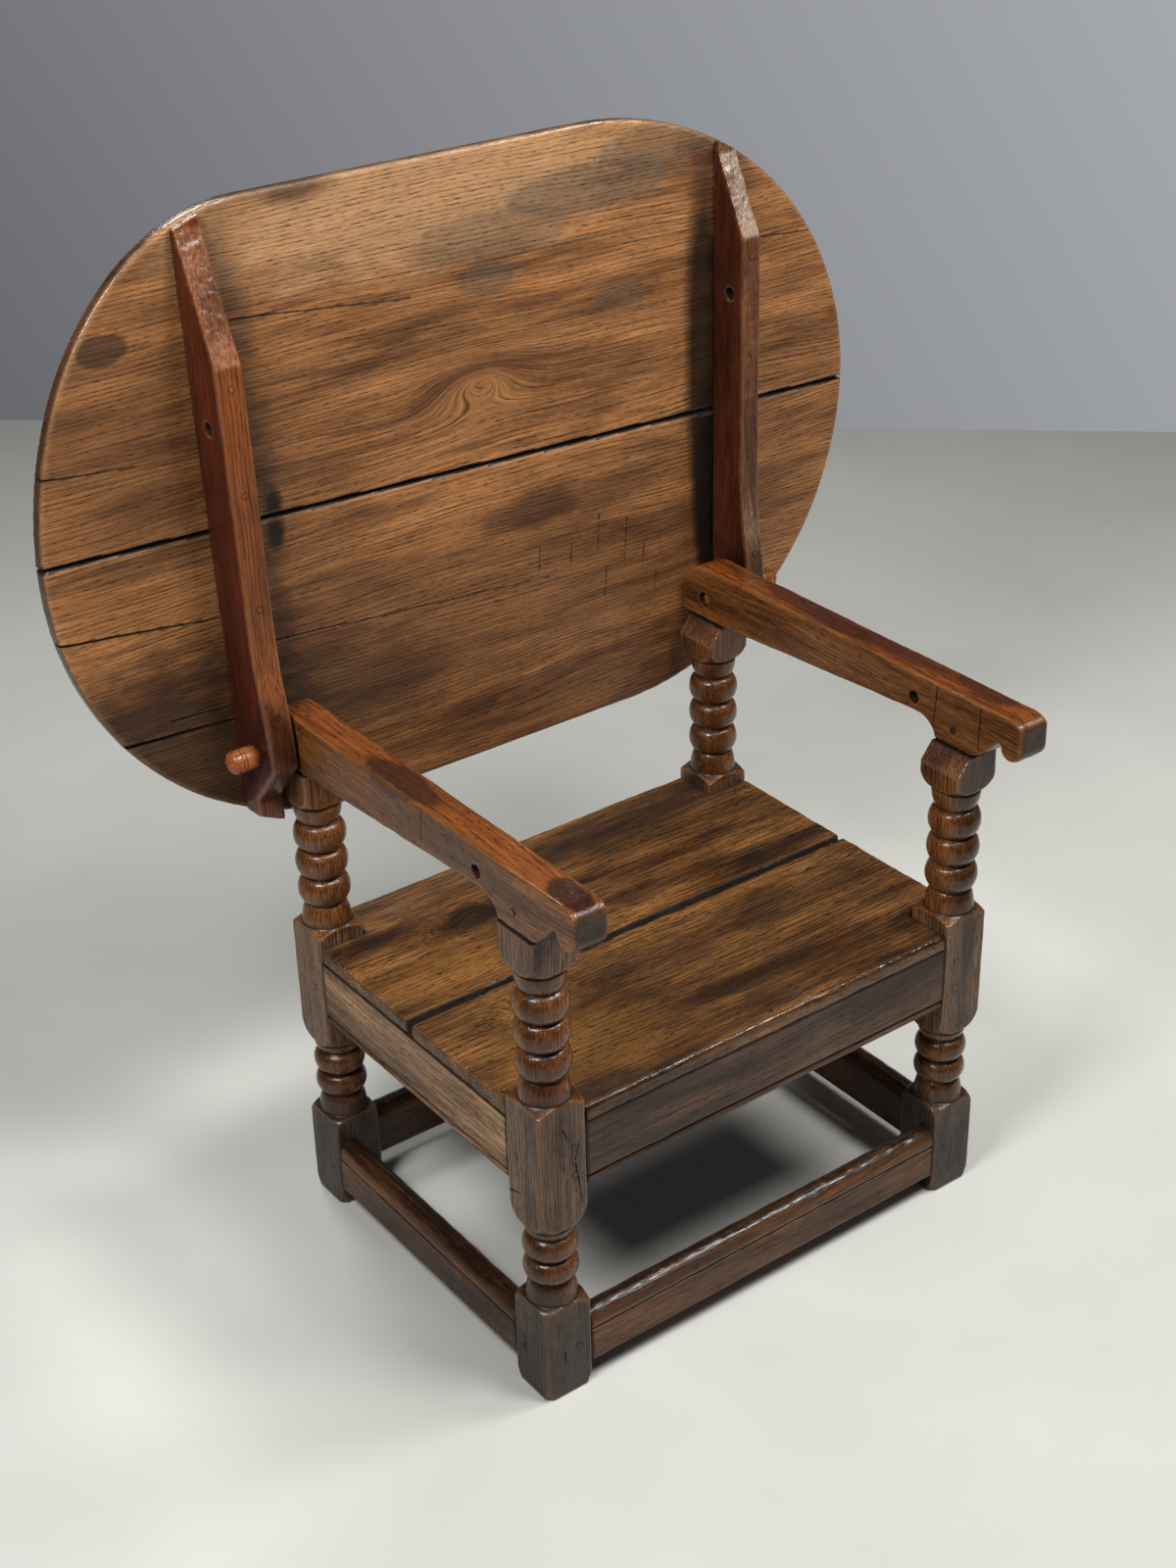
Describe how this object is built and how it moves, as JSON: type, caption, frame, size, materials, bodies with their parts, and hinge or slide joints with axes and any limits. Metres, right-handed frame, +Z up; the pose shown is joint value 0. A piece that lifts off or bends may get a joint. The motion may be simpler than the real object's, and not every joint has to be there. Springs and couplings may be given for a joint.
{
  "type": "chair-table",
  "caption": "Oak chair-table: an armchair on bobbin-turned posts whose round-ended back tips forward on pivot pins and lies on the arms as a table top.",
  "frame": {"origin": "on the floor, under the middle of the bounding box with the top upright", "axes": "+Z up, +X to the right of someone looking at the front of the chair, +Y to the rear, so the arms' noses point to -Y"},
  "size_m": [1.2, 0.6862, 1.331],
  "materials": {
    "turned_oak": "dark waxed oak, glossy on the turned work",
    "rail_oak": "grey-brown open-grained oak, worn wax",
    "seat_oak": "golden-brown waxed oak with dark stains",
    "arm_oak": "orange-brown polished oak, handled smooth",
    "peg_oak": "dark oak end grain",
    "board_oak": "brown oak, scratched and stained",
    "batten_oak": "deep red-brown polished oak",
    "pin_oak": "turned and polished oak"
  },
  "bodies": {
    "frame": {"post_front_left": "turned_oak", "post_front_right": "turned_oak", "post_rear_left": "turned_oak", "post_rear_right": "turned_oak", "rail_front": "rail_oak", "rail_rear": "rail_oak", "rail_left": "rail_oak", "rail_right": "rail_oak", "stretcher_front": "rail_oak", "stretcher_rear": "rail_oak", "stretcher_left": "rail_oak", "stretcher_right": "rail_oak", "seat_board_front": "seat_oak", "seat_board_rear": "seat_oak", "arm_left": "arm_oak", "arm_right": "arm_oak", "rail_peg_front_left_1": "peg_oak", "rail_peg_front_left_2": "peg_oak", "rail_peg_front_right_1": "peg_oak", "rail_peg_front_right_2": "peg_oak", "rail_peg_rear_left_1": "peg_oak", "rail_peg_rear_left_2": "peg_oak", "rail_peg_rear_right_1": "peg_oak", "rail_peg_rear_right_2": "peg_oak", "rail_peg_left_front": "peg_oak", "rail_peg_left_rear": "peg_oak", "rail_peg_right_front": "peg_oak", "rail_peg_right_rear": "peg_oak", "stretcher_peg_front_left": "peg_oak", "stretcher_peg_front_right": "peg_oak", "stretcher_peg_rear_left": "peg_oak", "stretcher_peg_rear_right": "peg_oak", "stretcher_peg_left_front": "peg_oak", "stretcher_peg_left_rear": "peg_oak", "stretcher_peg_right_front": "peg_oak", "stretcher_peg_right_rear": "peg_oak", "seat_peg_front_left": "peg_oak", "seat_peg_front_right": "peg_oak", "seat_peg_rear_left": "peg_oak", "seat_peg_rear_right": "peg_oak", "arm_peg_left": "peg_oak", "arm_peg_right": "peg_oak"},
    "top": {"top_board_upper": "board_oak", "top_board_lower": "board_oak", "batten_left": "batten_oak", "batten_right": "batten_oak", "batten_peg_left_1": "peg_oak", "batten_peg_left_2": "peg_oak", "batten_peg_left_3": "peg_oak", "batten_peg_left_4": "peg_oak", "batten_peg_right_1": "peg_oak", "batten_peg_right_2": "peg_oak", "batten_peg_right_3": "peg_oak", "batten_peg_right_4": "peg_oak"},
    "left_pin": {"pivot_pin_left": "pin_oak"},
    "right_pin": {"pivot_pin_right": "pin_oak"}
  },
  "joints": [
    {"name": "top_tilt", "type": "hinge", "parent": "frame", "child": "top", "pos_m": [0, 0.24363, 0.686], "axis": [1, 0, 0], "range_deg": [0, 92.6]},
    {"name": "left_pin_pull", "type": "slide", "parent": "top", "child": "left_pin", "axis": [-1, 0, 0], "range_m": [0, 0.09]},
    {"name": "right_pin_pull", "type": "slide", "parent": "top", "child": "right_pin", "axis": [1, 0, 0], "range_m": [0, 0.09]}
  ]
}
